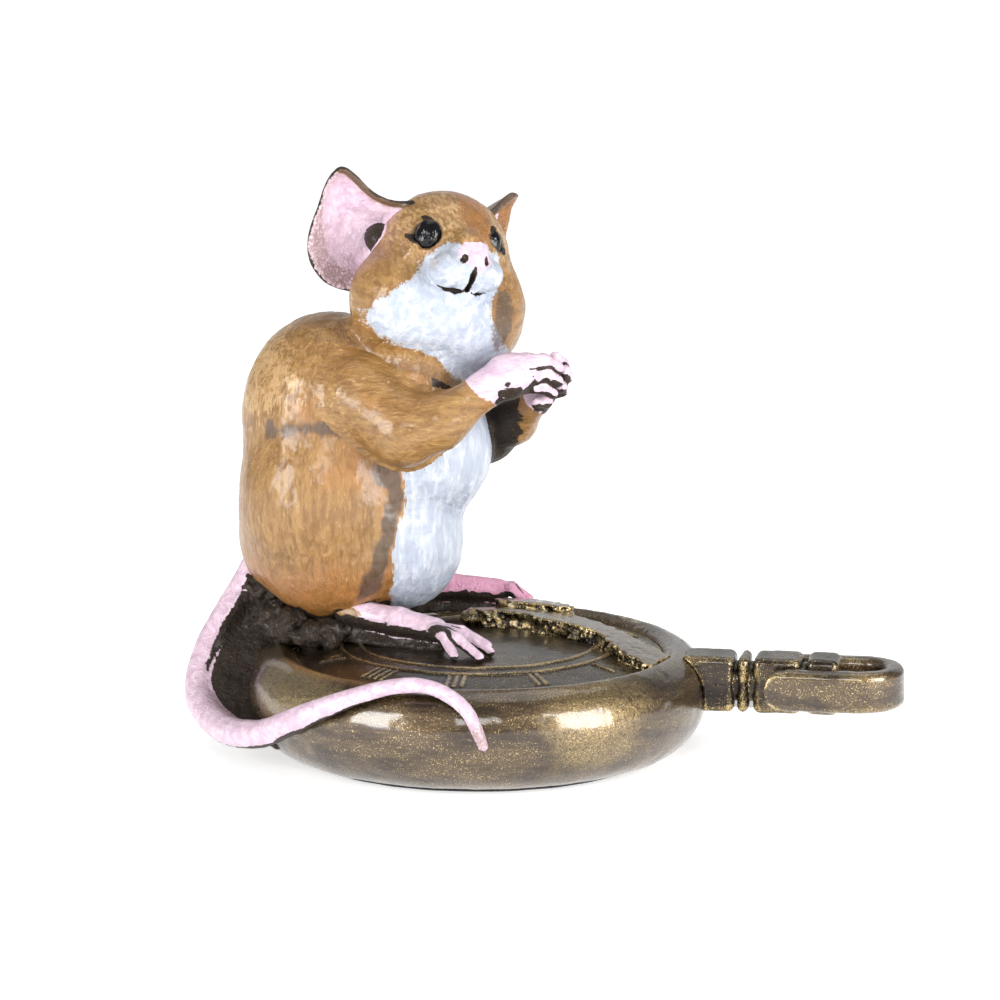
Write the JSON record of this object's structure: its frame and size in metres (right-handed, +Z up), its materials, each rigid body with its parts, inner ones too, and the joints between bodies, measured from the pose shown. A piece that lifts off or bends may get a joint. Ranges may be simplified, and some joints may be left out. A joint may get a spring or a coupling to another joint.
{
  "type": "mouse figurine on a pocket watch",
  "caption": "Painted bronze figurine: a life-size mouse sitting up on a broken pocket watch with a hinged bow, on a felt base.",
  "frame": {"origin": "centre of the felt's underside, on the axis of the watch case, in the plane of the table", "axes": "+X from the case's axis along the pendant, crown and bow; +Z up, square to the table; +Y to the mouse's left"},
  "size_m": [0.1101, 0.072, 0.0888],
  "materials": {
    "bronze": "dark brown patina, semi-gloss, rubbed with gold on the high spots",
    "cast_crystal": "bronze cast as broken crystal: satin top, glittering broken edge",
    "fur_paint": "hand-brushed ochre and orange-brown paint over bronze, satin varnish, white on the throat and belly",
    "skin_paint": "hand-brushed pale pink-lilac paint over dark bronze, satin varnish",
    "eye_enamel": "gloss black enamel",
    "felt": "black felt",
    "steel": "plain steel, hidden inside"
  },
  "bodies": {
    "figurine": {"felt_pad": "felt", "base_plate": "bronze", "case_shell": "bronze", "dial": "bronze", "glass_shard_front": "cast_crystal", "glass_shard_rear": "cast_crystal", "pendant_neck": "bronze", "pendant_collar": "bronze", "bow_barrel": "bronze", "crown": "bronze", "pendant_stud": "steel", "stud_nut": "steel", "mouse_body": "fur_paint", "body_studs": "steel", "body_nuts": "steel", "head": "fur_paint", "neck_dowel": "steel", "ear_right": "skin_paint", "ear_left": "skin_paint", "eye_right": "eye_enamel", "eye_left": "eye_enamel", "arm_right": "fur_paint", "arm_left": "fur_paint", "foot_right": "skin_paint", "foot_left": "skin_paint", "tail": "skin_paint", "tail_dowel": "steel"},
    "bow": {"bow": "bronze", "bow_pins": "steel"}
  },
  "joints": [
    {"name": "bow_swing", "type": "hinge", "parent": "figurine", "child": "bow", "pos_m": [0.0473, 0, 0.0121], "axis": [0, -1, 0], "range_deg": [-15, 95]}
  ]
}
